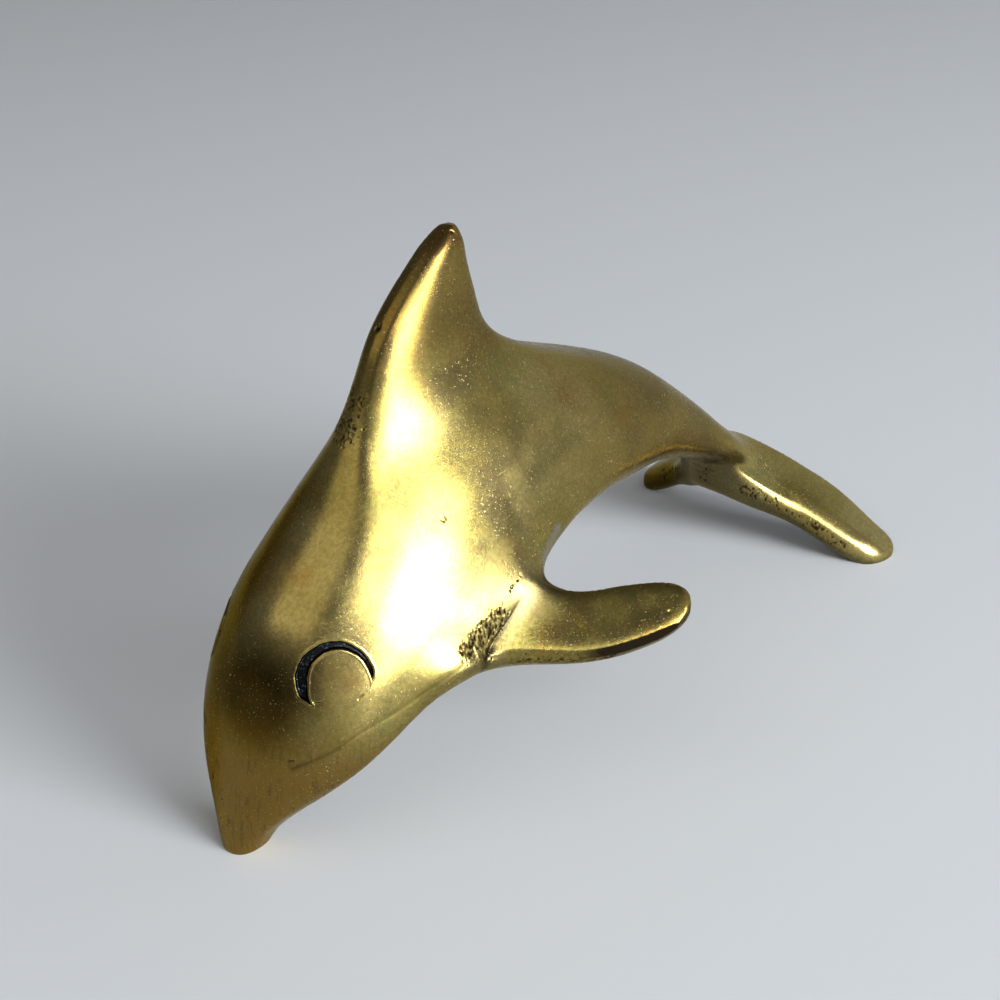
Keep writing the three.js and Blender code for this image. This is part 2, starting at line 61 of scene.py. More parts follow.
figure = {
    "archCentreX": 54.0,  # the body bends round this point on the table
    "bodySections": [  # angle over the arch, back radius, belly radius, half width, swell of the belly
        (-8, 55.1, 50.2, 1.8, 0.0),
        (3, 55.7, 49.5, 3.6, 0.0),
        (8, 54.9, 46.9, 7.5, 0.06),
        (14, 54.8, 43.8, 10.8, 0.2),
        (22, 55.6, 38.8, 12.5, 0.28),
        (32, 55.2, 33.1, 13.5, 0.33),
        (50, 51.4, 28.3, 12.9, 0.32),
        (70, 46.9, 26.9, 11.3, 0.25),
        (90, 43.2, 25.7, 10.0, 0.16),
        (110, 41.0, 26.0, 8.5, 0.07),
        (126, 39.9, 28.7, 7.0, 0.01),
        (142, 41.1, 33.1, 5.7, 0.01),
        (158, 45.1, 40.4, 5.3, 0.0),
        (172, 51.4, 48.2, 5.1, 0.0),
    ],
    "snoutEndAngle": -2.5,
    "snoutRounding": 4.0,
    "tailEndAngle": 160.0,
    "tailRounding": 8.0,
    "bellySquareness": 4.2,  # 2 is an ellipse, more is squarer
    "backSquareness": 2.3,
    "swellReach": 1.3,
    "finSections": [  # height, leading edge, trailing edge, half thickness
        (28, 22.0, 52.0, 6.5),
        (38, 17.8, 56.2, 6.4),
        (44.4, 19.6, 49.8, 4.8),
        (50, 22.0, 42.4, 3.7),
        (55, 24.8, 40.0, 3.0),
        (60, 29.9, 38.5, 2.2),
        (64.2, 35.0, 37.8, 1.5),
    ],
    "finTipRounding": 3.0,
    "finSquareness": 2.2,
    "finFillet": 12.0,
    "flukeSections": [  # distance out, leading edge, trailing edge, middle height, half thickness
        (0, 89.8, 100.5, 13.7, 2.5),
        (5, 93.2, 104.5, 11.2, 2.5),
        (12, 98.8, 109.0, 6.2, 2.7),
        (18, 102.1, 110.1, 2.2, 2.4),
        (21.5, 104.6, 110.9, 0.3, 1.7),
    ],
    "flukeTipRounding": 2.6,
    "flukeSquareness": 2.6,
    "flukeFillet": 11.0,
    "flukeFilletFade": (4.0, 11.0, 0.92),  # from the mid-plane, over this length, by this share
    "flipperRoot": (28.8, -13.3, 21.4),
    "flipperTip": (43.7, -29.2, 21.7),
    "flipperChord": (0.515, 0.496, 0.699),
    "flipperSections": [  # along the blade, leading edge, trailing edge, half thickness
        (-6, -6.0, 6.5, 3.0),
        (0, -4.7, 5.4, 2.6),
        (8, -5.0, 2.9, 1.9),
        (15, -4.1, 3.5, 1.7),
        (22.5, -1.2, 3.8, 1.4),
    ],
    "flipperRootRounding": 3.0,
    "flipperTipRounding": 4.6,
    "flipperSquareness": (2.8, 5.5),  # round its outline and through its thickness
    "flipperFillet": 8.0,
    "flipperCrease": 0.03,  # the fillet's reach where it was filed away, low on the blade's outer face
    "unevenness": 0.012,  # how far the hand-dressed skin wanders from the true form
}


def smooth(value):
    share = np.clip(value, 0, 1)
    return share * share * (3 - 2 * share)


def between(value, ends):
    # 0 up to the first end, 1 from the second on, whichever is greater
    start, full = ends
    return smooth((value - start) / (full - start))


def curveThrough(at, values):
    # a natural cubic curve, held at its end values
    at, values = np.array(at, float), np.array(values, float)
    count = len(at)
    step = np.diff(at)
    slopes = np.diff(values) / step
    matrix, right = np.eye(count), np.zeros(count)
    for i in range(1, count - 1):
        matrix[i, i - 1 : i + 2] = step[i - 1], 2 * (step[i - 1] + step[i]), step[i]
        right[i] = 6 * (slopes[i] - slopes[i - 1])
    bend = np.linalg.solve(matrix, right)

    def curve(position):
        x = np.clip(position, at[0], at[-1])
        i = np.clip(np.searchsorted(at, x) - 1, 0, count - 2)
        a = (at[i + 1] - x) / step[i]
        b = 1 - a
        curl = (a**3 - a) * bend[i] + (b**3 - b) * bend[i + 1]
        return a * values[i] + b * values[i + 1] + curl * step[i] ** 2 / 6

    return curve


def curvesOf(rows):
    columns = list(zip(*rows))
    return [curveThrough(columns[0], column) for column in columns[1:]]


def mirroredRows(rows):
    return [(-row[0], *row[1:]) for row in reversed(rows) if row[0] > 0] + list(rows)


def roundedBlock(offsets, halves, squareness):
    # distance to a rounded block; the second direction sets the scale
    total, steepness = 0, 0
    for offset, half, square in zip(offsets, halves, squareness):
        share = np.abs(offset) / half
        total = total + share**square
        steepness = steepness + (square * share ** (square - 1) / half) ** 2
    power = 1 / squareness[1]
    held = np.maximum(total, 1e-9)
    slope = np.sqrt(steepness) * held ** (power - 1) * power
    return (held**power - 1) / np.maximum(slope, 1e-6)


def filleted(first, second, reach):
    share = np.maximum(reach - np.abs(first - second), 0) / reach
    return np.minimum(first, second) - share**3 * reach / 6


bodyCurves = curvesOf(figure["bodySections"])
finCurves = curvesOf(figure["finSections"])
flukeCurves = curvesOf(mirroredRows(figure["flukeSections"]))
flipperCurves = curvesOf(figure["flipperSections"])

flipperRoot = np.array(figure["flipperRoot"])
flipperAxis = np.array(figure["flipperTip"]) - flipperRoot
flipperAxis /= np.linalg.norm(flipperAxis)
flipperAcross = np.array(figure["flipperChord"])
flipperAcross -= (flipperAcross @ flipperAxis) * flipperAxis
flipperAcross /= np.linalg.norm(flipperAcross)
flipperFace = np.cross(flipperAxis, flipperAcross)


def bodyDistance(x, y, z):
    x = x - figure["archCentreX"]
    radius = np.hypot(x, z)
    angle = np.degrees(np.arctan2(z, -x))
    angle = np.where(angle < -90, angle + 360, angle)
    back, belly, half, swell = [curve(angle) for curve in bodyCurves]
    halfHeight = (back - belly) / 2
    offset = radius - (back + belly) / 2
    reach = figure["swellReach"]
    half = half * (1 - swell * np.clip(offset / halfHeight, -reach, reach))
    arc = math.radians(1) * radius
    snout, tail = figure["snoutRounding"], figure["tailRounding"]
    past = np.maximum((figure["snoutEndAngle"] - angle) * arc + snout, 0)
    past = past + np.maximum((angle - figure["tailEndAngle"]) * arc + tail, 0)
    cap = np.where(angle < 90, snout, tail)
    squareness = np.where(offset < 0, figure["bellySquareness"], figure["backSquareness"])
    side = figure["backSquareness"]
    return roundedBlock([offset, y, past], [halfHeight, half, cap], [squareness, side, side])


def finDistance(x, y, z):
    lead, trail, half = [curve(z) for curve in finCurves]
    foot, top = figure["finSections"][0][0], figure["finSections"][-1][0]
    tip = figure["finTipRounding"]
    past = np.maximum(z - top + tip, 0) + np.maximum(foot + tip - z, 0)
    return roundedBlock(
        [x - (lead + trail) / 2, y, past], [(trail - lead) / 2, half, tip], [figure["finSquareness"]] * 3)


def flukeDistance(x, y, z):
    lead, trail, middle, half = [curve(y) for curve in flukeCurves]
    tip = figure["flukeTipRounding"]
    past = np.maximum(np.abs(y) - figure["flukeSections"][-1][0] + tip, 0)
    return roundedBlock(
        [x - (lead + trail) / 2, z - middle, past], [(trail - lead) / 2, half, tip],
        [figure["flukeSquareness"]] * 3)


def flipperDistance(x, y, z):
    q = np.stack([x, -np.abs(y), z], -1) - flipperRoot
    along = q @ flipperAxis
    lead, trail, half = [curve(along) for curve in flipperCurves]
    foot, reach = figure["flipperSections"][0][0], figure["flipperSections"][-1][0]
    tip = figure["flipperTipRounding"]
    past = np.maximum(along - reach + tip, 0) + np.maximum(foot + figure["flipperRootRounding"] - along, 0)
    rim, square = figure["flipperSquareness"]
    wide = (trail - lead) / 2
    shares = [np.abs(q @ flipperAcross - (lead + trail) / 2) / wide, past / tip]
    inPlane = np.maximum(shares[0] ** rim + shares[1] ** rim, 1e-9) ** (1 / rim)
    through = np.abs(q @ flipperFace) / half
    whole = (inPlane**square + through**square) ** (1 / square)
    steepness = (through / whole) ** (2 * square - 2) / half**2
    for share, size in zip(shares, (wide, tip)):
        edgewise = (inPlane / whole) ** (square - 1) * (share / inPlane) ** (rim - 1) / size
        steepness = steepness + edgewise**2
    return (whole - 1) / np.sqrt(np.maximum(steepness, 1e-12))


def torsoDistance(x, y, z):
    skin = filleted(bodyDistance(x, y, z), finDistance(x, y, z), figure["finFillet"])
    start, length, loss = figure["flukeFilletFade"]
    reach = figure["flukeFillet"] * (1 - loss * smooth((np.abs(y) - start) / length))
    return filleted(skin, flukeDistance(x, y, z), reach)


def figureDistance(points):
    x, y, z = points[..., 0], points[..., 1], points[..., 2]
    return filleted(torsoDistance(x, y, z), flipperDistance(x, y, z), figure["flipperFillet"])


def slopeOf(distance, points, step=0.02):
    slope = np.zeros_like(points)
    for axis in range(3):
        shift = np.zeros(3)
        shift[axis] = step
        slope[:, axis] = (distance(points + shift) - distance(points - shift)) / (2 * step)
    return slope


def drawnToSkin(points, rounds=3):
    for _ in range(rounds):
        slope = slopeOf(figureDistance, points)
        steep = np.maximum((slope**2).sum(1), 0.2)
        points = points - slope * (figureDistance(points) / steep)[:, None]
    return points


# Marks in the skin: the eyes, creases, dents and casting pits

eye = {
    "x": 7.2,
    "z": 22.1,
    "outerRadius": 4.3,
    "innerRadius": 3.27,
    "innerShift": 0.4,
    "innerRise": 0.02,
    "startAngle": -21.0,  # from the tail side over the top
    "endAngle": 226.0,
    "taper": 2.4,  # length over which the groove narrows to a point at each end
    "narrowing": 0.6,
    "sandFrom": (0.02, 0.18),  # into the groove, where its sand begins and where it is full
    "depth": 0.62,
    "lip": 0.3,  # width of the rounded lips
    "burr": 0.045,  # metal thrown up beside the groove, how far beside it and how wide
    "burrPlace": 0.13,
    "burrWidth": 0.1,
    "handShake": 0.07,  # of the outer edge, and the inner edge's share of it
    "innerShake": 0.6,
    "headDepth": 3.0,  # how far behind the skin a point still counts as by the eye
    "rightShift": (1.3, -0.9),  # the right eye was cut further aft and lower
}

chinCrease = {
    "depth": 0.03,
    "halfWidth": 0.4,
    "dirt": 0.6,  # how dark its dirt is, and how wide
    "dirtHalfWidth": 0.3,
    "path": [
        (20.4, -15.9, 20.6),
        (12.8, -13.5, 17.6),
        (8.0, -11.7, 16.1),
        (5.5, -10.4, 14.5),
        (2.2, -7.1, 12.4),
    ],
}

# Dents and file marks: start, end, radius and depth. Each is about where its middle lies.
dents = [
    ((24.7, 0.1, 55.3), (24.9, 0.1, 54.7), 0.34, 0.3),
    ((23.4, -9.9, 35.6), (23.9, -10.1, 35.1), 0.12, 0.07),
    ((24.2, -10.1, 35.2), (24.3, -10.0, 35.6), 0.1, 0.06),
    ((29.2, -15.5, 26.5), (29.6, -15.7, 26.8), 0.16, 0.14),
    ((30.0, -15.7, 26.9), (30.5, -15.7, 27.4), 0.14, 0.12),
    ((35.6, -1.1, 63.4), (35.8, -1.1, 63.2), 0.2, 0.15),
    ((5.0, -8.1, 19.95), (5.6, -8.6, 19.9), 0.12, 0.1),
    ((8.7, -11.1, 19.9), (9.1, -11.4, 20.3), 0.11, 0.08),
    ((2.2, -6.6, 13.25), (2.5, -7.1, 13.3), 0.1, 0.1),
    ((41.3, -28.4, 22.9), (41.6, -28.5, 22.8), 0.15, 0.08),
    ((0.2, 4.2, 8.8), (0.1, 3.9, 7.4), 0.16, 0.12),
    ((0.4, 4.6, 10.2), (0.4, 4.5, 9.8), 0.13, 0.1),
    ((-0.6, -2.6, 6.6), (-0.8, -2.5, 5.6), 0.12, 0.06),
    ((-0.6, -3.2, 6.4), (-0.8, -3.1, 5.2), 0.1, 0.06),
    ((0.4, -4.4, 7.3), (0.3, -4.3, 6.6), 0.1, 0.06),
    ((22.0, 10.2, 31.0), (22.5, 10.4, 30.7), 0.16, 0.12),
    ((46.0, 9.4, 36.0), (46.4, 9.3, 36.3), 0.14, 0.1),
    ((30.4, 15.7, 26.2), (30.9, 15.8, 25.8), 0.15, 0.13),
    ((72.0, 6.2, 36.4), (72.4, 6.2, 36.1), 0.16, 0.1),
]

# Dirt in a dent: its reach in dent radii, from none to full, and its darkness for each mm of depth
dentDirt = {"reach": (1.15, 0.525), "perDepth": 8}

# Patches of casting pits: start, end, radius and how thickly the pits stand there.
pittedPatches = [
    ((21.8, -15.5, 21.6), (26.4, -16.2, 24.0), 1.3, 0.97),
    ((29.2, -15.7, 26.4), (30.6, -15.8, 27.2), 0.5, 0.5),
    ((27.5, -17.9, 18.6), (35.0, -25.0, 18.6), 0.8, 0.6),
    ((19.0, 0.4, 44.8), (20.6, 0.4, 47.2), 2.0, 0.6),
    ((92.5, -5.7, 11.8), (99.6, -14.2, 5.4), 0.9, 0.75),
    ((99.6, -14.4, 4.6), (101.6, -17.0, 3.2), 0.8, 0.55),
    ((20.4, 15.3, 21.4), (25.0, 16.1, 23.2), 1.3, 0.8),
    ((28.0, 18.0, 18.6), (34.5, 24.5, 18.6), 0.8, 0.5),
    ((94.0, 7.0, 10.8), (99.5, 13.8, 6.0), 1.0, 0.6),
    ((84.0, 1.0, 16.6), (88.0, -1.5, 14.6), 1.6, 0.35),
]

patchReach = (1.7, 0.5)  # in patch radii, where its pits begin and where they are all there

castingPits = {"spacing": 0.36, "radius": 0.22, "depth": 0.1, "raggedness": 0.8, "seed": 7}


def bellOver(away, width):
    return np.exp(-((away / width) ** 2))


def segmentDistance(points, start, end):
    start, end = np.array(start, float), np.array(end, float)
    way = end - start
    share = np.clip((points - start) @ way / (way @ way), 0, 1)
    return np.linalg.norm(points - start - share[:, None] * way, axis=1)


def eyeFrame():
    inside, outside = 0.0, -40.0
    while inside - outside > 1e-4:
        y = (inside + outside) / 2
        if figureDistance(np.array([[eye["x"], y, eye["z"]]]))[0] < 0:
            inside = y
        else:
            outside = y
    centre = np.array([eye["x"], inside, eye["z"]])
    out = slopeOf(figureDistance, centre[None])[0]
    out /= np.linalg.norm(out)
    rise = np.array([0, 0, 1.0]) - out[2] * out
    rise /= np.linalg.norm(rise)
    return centre, out, rise, np.cross(rise, out)


eyeCentre, eyeOut, eyeRise, eyeAft = eyeFrame()


def mirroredToLeft(points):
    return np.stack([points[:, 0], -np.abs(points[:, 1]), points[:, 2]], -1)


# Where the flipper's fillet is filed to a crease: from none to full, across the blade and out from it
filedFillet = {"lowerEnd": (-7.2, -3.0), "upperEnd": (4.0, -5.0), "outwards": (0.2, 2.4)}


def filedShare(points):
    # 1 at the lower end of the joint on a flipper's outer face, 0 round the blade's edges and behind it
    q = mirroredToLeft(points) - flipperRoot
    across = q @ flipperAcross
    share = between(across, filedFillet["lowerEnd"]) * between(across, filedFillet["upperEnd"])
    return share * between(q @ flipperFace, filedFillet["outwards"])


def creaseDepth(points):
    # how deep the fillet is filed, and how far each point is from the crease that is left
    x, y, z = points.T
    torso, flipper = torsoDistance(x, y, z), flipperDistance(x, y, z)
    before = filleted(torso, flipper, figure["flipperFillet"])
    filed = filleted(torso, flipper, figure["flipperCrease"]) - before
    return filed * filedShare(points), np.abs(torso - flipper)


bevel = {
    "lean": 50.0,  # from the blade's outer face towards its lower edge
    "depth": (0.24, 0.34),  # near the root and near the tip
    "slightFrom": (1.0, 5.0),  # along the blade, from none to full
    "deepFrom": (8.0, 16.0),
    "dirtFrom": (8.0, 12.0),
    "skin": 0.8,  # how far off the blade a point still counts as on it
    "dirtDepth": 0.03,
}


def bevelDepth(points):
    # a flat filed along the lower edge of each blade, and how far along the blade each point is
    q = mirroredToLeft(points) - flipperRoot
    along = q @ flipperAxis
    lead, trail, half = [curve(along) for curve in flipperCurves]
    wide = (trail - lead) / 2
    lean = math.radians(bevel["lean"])
    square = figure["flipperSquareness"][1]
    power = square / (square - 1)
    reach = ((wide * math.sin(lean)) ** power + (half * math.cos(lean)) ** power) ** (1 / power)
    across = q @ flipperAcross - (lead + trail) / 2
    away = q @ flipperFace * math.cos(lean) - across * math.sin(lean) - reach
    slight, deep = bevel["depth"]
    away = away + slight * between(along, bevel["slightFrom"])
    away = away + (deep - slight) * between(along, bevel["deepFrom"])
    blade = flipperDistance(*points.T)
    return np.maximum(away - blade, 0) * (blade < bevel["skin"]), along


def eyeEdge(points):
    # distance into the groove from its nearest edge, on either side of the head
    q = mirroredToLeft(points) - eyeCentre
    onRight = points[:, 1] > 0
    aft, lower = eye["rightShift"]
    a, b = q @ eyeAft - onRight * aft, q @ eyeRise - onRight * lower
    radius = np.hypot(a, b)
    angle = np.degrees(np.arctan2(b, a))
    angle = np.where(angle < -90, angle + 360, angle)
    turn = np.radians(angle) + np.where(onRight, 1.3, 0)
    waves = np.sin(5 * turn + 0.6) * 0.5 + np.sin(11 * turn) * 0.35 + np.sin(23 * turn + 2) * 0.25
    shake = eye["handShake"] * waves
    outer = eye["outerRadius"] + shake - radius
    inner = np.hypot(a - eye["innerShift"], b - eye["innerRise"])
    inner = inner - eye["innerRadius"] - eye["innerShake"] * shake
    ends = np.minimum(angle - eye["startAngle"], eye["endAngle"] - angle) * math.radians(1) * radius
    edge = np.minimum(outer, inner) - np.maximum(-ends, 0)
    edge = edge - eye["narrowing"] * (1 - smooth(ends / eye["taper"]))
    return np.where(np.abs(q @ eyeOut) < eye["headDepth"], edge, -9)


def unevenness(points):
    x, y, z = points.T
    waves = np.sin(x / 2.1 + 0.7 * y) + np.sin(z / 1.7 - y / 2.6 + 1)
    waves += np.sin((x + z) / 1.5 + y / 3.1 + 2) + np.sin((x - z) / 1.35 + 4)
    waves += 0.7 * np.sin((x + 2 * z) / 1.9 - y / 1.4)
    return figure["unevenness"] * waves / 2.2


def chinCreaseDistance(points):
    left = mirroredToLeft(points)
    away = np.full(len(points), 9.0)
    for start, end in zip(chinCrease["path"], chinCrease["path"][1:]):
        away = np.minimum(away, segmentDistance(left, start, end))
    return away


def carving(points):
    # how far the finished skin lies below the true form
    edge = eyeEdge(points)
    depth = eye["depth"] * smooth(edge / eye["lip"])
    depth -= eye["burr"] * bellOver(edge + eye["burrPlace"], eye["burrWidth"])
    depth += chinCrease["depth"] * bellOver(chinCreaseDistance(points), chinCrease["halfWidth"])
    depth += creaseDepth(points)[0] + bevelDepth(points)[0]
    for start, end, radius, deep in dents:
        depth += deep * bellOver(segmentDistance(points, start, end), radius)
    return depth + unevenness(points)


def carvedDistance(points):
    return figureDistance(points) + carving(points)


def dentedness(points):
    # how dark the dirt in a dent, in the chin's crease or on the filed flats is
    dark = chinCrease["dirt"] * bellOver(chinCreaseDistance(points), chinCrease["dirtHalfWidth"])
    flat, along = bevelDepth(points)
    dark = np.maximum(dark, smooth(flat / bevel["dirtDepth"]) * between(along, bevel["dirtFrom"]))
    for start, end, radius, deep in dents:
        away = segmentDistance(points, start, end) / radius
        dark = np.maximum(dark, between(away, dentDirt["reach"]) * min(1, deep * dentDirt["perDepth"]))
    return dark


def pittedness(points):
    share = np.zeros(len(points))
    for start, end, radius, thick in pittedPatches:
        away = segmentDistance(points, start, end) / radius
        share = np.maximum(share, thick * between(away, patchReach))
    return share


# Dark cast skin on the undersides, and painted shade in the filed crease and by the armpit, each from none
# to full, and how strong they are
castSkinAndShade = {
    "facingDown": (0.1, -0.2),
    "alongBlade": (9.0, 14.0),
    "bladeSkin": 0.6,
    "alongTail": (76.0, 84.0),
    "onTail": 0.8,
    "filedDepth": 0.3,
    "creaseWidth": 0.45,
    "inCrease": 0.96,
    "outwards": (-1.0, 1.0),
    "upwards": (-4.0, 1.0),
    "armpitMiddle": 1.6,  # from the crease, on the blade
    "armpitWidth": 2.2,
    "inArmpit": 0.85,
}


def castSkinAndShadeShare(points, slope):
    # the undersides of the blades and of the tail kept their dark cast skin, and the filed crease and the
    # blade by the armpit get painted shade
    q = mirroredToLeft(points) - flipperRoot
    torso, blade = torsoDistance(*points.T), flipperDistance(*points.T)
    onBlade = between(q @ flipperAxis, castSkinAndShade["alongBlade"]) * (blade < castSkinAndShade["bladeSkin"])
    onTail = castSkinAndShade["onTail"] * between(points[:, 0], castSkinAndShade["alongTail"])
    under = np.maximum(onBlade, onTail) * between(slope[:, 2], castSkinAndShade["facingDown"])
    filed = smooth(creaseDepth(points)[0] / castSkinAndShade["filedDepth"])
    inCrease = castSkinAndShade["inCrease"] * filed * bellOver(torso - blade, castSkinAndShade["creaseWidth"])
    onFace = between(q @ flipperFace, castSkinAndShade["outwards"]) * between(q @ flipperAcross, castSkinAndShade["upwards"])
    nearArmpit = bellOver(torso - blade - castSkinAndShade["armpitMiddle"], castSkinAndShade["armpitWidth"])
    return np.maximum(np.maximum(under, inCrease), castSkinAndShade["inArmpit"] * onFace * nearArmpit)


# Silver-grey filler that ran down the flank behind each flipper, and its reach from none to full
smear = {"start": (36.0, -14.4, 26.4), "end": (40.2, -13.1, 28.8), "reach": (0.9, 0.4385)}


def smearedness(points):
    return between(segmentDistance(mirroredToLeft(points), smear["start"], smear["end"]), smear["reach"])


# The skin as a net

net = {
    "spacing": 0.6,
    "margin": 3,
    "low": (-3.0, -31.0),
    "high": (113.0, 31.0, 67.0),
    "eveningRounds": 4,
    "eveningShare": 0.5,
    "worthHalving": 0.02,  # depth of the filing, or share of pits, from which the net is finer
    "besideCrease": 1.2,
    "besideDent": 0.5,
    "roundEye": 5.4,
    "besideGroove": 0.75,
}


def surfaceNet():
    # one point in each cell that the skin passes through, and a face round each crossed edge
    spacing, margin = net["spacing"], net["margin"]
    low = np.array([*net["low"], -margin * spacing])
    high = np.array(net["high"])
    count = np.ceil((high - low) / spacing).astype(int) + 1
    axes = [low[i] + spacing * np.arange(count[i]) for i in range(3)]
    values = np.empty(count)
    for i, x in enumerate(axes[0]):
        y, z = np.meshgrid(axes[1], axes[2], indexing="ij")
        values[i] = figureDistance(np.stack([np.full_like(y, x), y, z], -1))
    sums = np.zeros([*(count - 1), 3])
    crossings = np.zeros(count - 1)
    cell = np.indices(count - 1).transpose(1, 2, 3, 0).astype(float)
    for axis in range(3):
        others = [n for n in range(3) if n != axis]
        for first in (0, 1):
            for second in (0, 1):
                at = np.zeros(3, int)
                at[others] = first, second
                ahead = at + np.eye(3, dtype=int)[axis]
                here = values[tuple(slice(a, a + n - 1) for a, n in zip(at, count))]
                there = values[tuple(slice(a, a + n - 1) for a, n in zip(ahead, count))]
                crossed = (here < 0) != (there < 0)
                share = np.where(crossed, here / np.where(crossed, here - there, 1), 0)
                place = cell + at
                place[..., axis] += share
                sums += np.where(crossed[..., None], place, 0)
                crossings += crossed
    used = crossings > 0
    number = np.full(used.shape, -1)
    number[used] = np.arange(used.sum())
    points = sums[used] / crossings[used][:, None] * spacing + low
    faces = []
    inside = values < 0
    for axis in range(3):
        second, third = (axis + 1) % 3, (axis + 2) % 3
        near = [slice(1, -1)] * 3
        far = list(near)
        near[axis] = slice(0, count[axis] - 1)
        far[axis] = slice(1, count[axis])
        crossed = inside[tuple(near)] != inside[tuple(far)]
        cells = np.argwhere(crossed) + 1
        cells[:, axis] -= 1
        steps = np.eye(3, dtype=int)
        corners = [0 * steps[0], steps[second], steps[second] + steps[third], steps[third]]
        face = np.stack([number[tuple((cells - corner).T)] for corner in corners], 1)
        backwards = ~inside[tuple(near)][crossed]
        face[backwards] = face[backwards][:, ::-1]
        faces.append(face)
    return points, np.concatenate(faces)


def evened(points, faces):
    for _ in range(net["eveningRounds"]):
        sums = np.zeros_like(points)
        counts = np.zeros(len(points))
        for corner in range(4):
            for beside in (1, 3):
                np.add.at(sums, faces[:, corner], points[faces[:, (corner + beside) % 4]])
                np.add.at(counts, faces[:, corner], 1)
        middle = sums / counts[:, None]
        points = drawnToSkin(points + (middle - points) * net["eveningShare"], 1)
    return drawnToSkin(points)


def finenessWanted(points):
    # how often the net is halved at each point
    wanted = np.zeros(len(points))
    wanted[chinCreaseDistance(points) < net["besideCrease"]] = 2
    filed, awayFromCrease = creaseDepth(points)
    worth = filed > net["worthHalving"]
    wanted[worth] = 1
    wanted[worth & (awayFromCrease < net["besideCrease"])] = 2
    wanted[(pittedness(points) > net["worthHalving"]) | (bevelDepth(points)[0] > 0)] = 2
    for start, end, radius, _ in dents:
        wanted[segmentDistance(points, start, end) < radius + net["besideDent"]] = 3
    nearEye = np.linalg.norm(mirroredToLeft(points) - eyeCentre, axis=1) < net["roundEye"]
    wanted[nearEye] = np.maximum(wanted[nearEye], 1)
    wanted[eyeEdge(points) > -net["besideGroove"]] = 3
    return wanted


def coordinatesOf(mesh):
    return np.array([vertex.co for vertex in mesh.verts])


def setCoordinates(mesh, points):
    for vertex, point in zip(mesh.verts, points):
        vertex.co = point


def refinedNet(points, faces):
    mesh = bmesh.new()
    corners = [mesh.verts.new(point) for point in points]
    for face in faces:
        mesh.faces.new([corners[i] for i in face])
    for level in (1, 2, 3):
        mesh.verts.index_update()
        wanted = finenessWanted(coordinatesOf(mesh)) >= level
        edges = [edge for edge in mesh.edges if wanted[edge.verts[0].index] or wanted[edge.verts[1].index]]
        bmesh.ops.subdivide_edges(mesh, edges=edges, cuts=1, use_grid_fill=True)
        points = coordinatesOf(mesh)
        new = np.arange(len(wanted), len(points))
        points[new] = drawnToSkin(points[new], 2)
        setCoordinates(mesh, points)
    return mesh


netPoints, netFaces = surfaceNet()
skin = refinedNet(evened(netPoints, netFaces), netFaces)
skinPoints = coordinatesOf(skin)
outward = slopeOf(figureDistance, skinPoints)
outward /= np.linalg.norm(outward, axis=1)[:, None]
# the eye's groove is cut straight in and everything else square to the skin
cutting = outward.copy()
byGroove = eyeEdge(skinPoints) > -net["besideGroove"]
cutting[byGroove] = eyeOut
cutting[byGroove & (skinPoints[:, 1] > 0), 1] *= -1
setCoordinates(skin, skinPoints - cutting * carving(skinPoints)[:, None])
middleX = (skinPoints[:, 0].min() + skinPoints[:, 0].max()) / 2
print("skin net:", len(skin.verts), "points, middle at", round(middleX, 3))


# Nodes, for materials and for Geometry Nodes alike


def linearColour(code):
    parts = [int(code[i : i + 2], 16) / 255 for i in (1, 3, 5)]
    return tuple(c / 12.92 if c <= 0.04045 else ((c + 0.055) / 1.055) ** 2.4 for c in parts) + (1.0,)


def addNode(tree, kind, inputs=(), output=0, **settings):
    # inputs go by name or in order: a number, colour or vector sets one, and a socket is linked to it
    node = tree.nodes.new(kind)
    for name, value in settings.items():
        setattr(node, name, value)
    for name, value in inputs.items() if isinstance(inputs, dict) else enumerate(inputs):
        if isinstance(value, bpy.types.NodeSocket):
            tree.links.new(value, node.inputs[name])
        else:
            node.inputs[name].default_value = value
    return node.outputs[output] if node.outputs else node


def newMaterial(name):
    material = bpy.data.materials.new(name)
    material.use_nodes = True
    material.node_tree.nodes.clear()
    return material, material.node_tree


# Materials

softStep = {"interpolation_type": "SMOOTHSTEP"}

# Clouds in the brass: size and shift in mm, detail, and the two noise levels that count as none
# and full, then what they become
brassClouds = {
    "olive": (16, (3, 0, 0), 3, (0.36, 0.66)),
    "rusty": (8, (40, 9, 3), 3, (0.52, 0.74, 0, 0.7)),
    "green": (5, (11, 70, 5), 3, (0.55, 0.8, 0, 0.5)),
    "mottle": (0.45, (0, 0, 0), 4, (0.3, 0.7, 0.82, 1.18)),
    "flecks": (0.22, (5, 5, 5), 2, (0.665, 0.72)),  # pale specks, painted glints on spots of clean metal, about 0.1 mm across
    "fleckFields": (11, (0, 30, 0), 3, (0.4, 0.6, 0.4, 1)),
    "scratchesAlong": (0.55, (0, 0, 0), 2, (0.68, 0.74)),
    "scratchesDown": (0.6, (9, 4, 2), 2, (0.68, 0.74)),
    "filing": (0.5, (2, 2, 2), 2, (0.52, 0.7)),
    "grit": (0.28, (4, 4, 4), 2, (0.56, 0.7)),
    "haze": (3.5, (6, 6, 6), 4, (0.3, 0.7, -0.03, 0.06)),
    "grain": (0.16, (0, 0, 0), 2, None),
    "ripples": (1.6, (1, 2, 3), 1, None),
}

# Clouds drawn out into lines, by stretch and turn: hair scratches in two directions, drawn 0.08 mm
# wide so that they show, and the marks of the file that dressed the snout lengthwise
brassLines = {
    "scratchesAlong": ((0.06, 1, 1), (0.5, 0.3, 0.9)),
    "scratchesDown": ((1, 1, 0.05), (0.2, -0.5, 0.2)),
    "filing": ((1, 1, 0.08), (0, 0, 0)),
}

# Round spots in some cells of a pattern: cell size and radius in mm, share of the cells, shift
brassSpots = {
    "specks": (0.9, 0.09, 0.35, (5, 5, 5)),
    "holes": (2.6, 0.13, 0.35, (8, 1, 6)),
    "pinholes": (1.3, 0.075, 0.3, (2, 7, 1)),
}

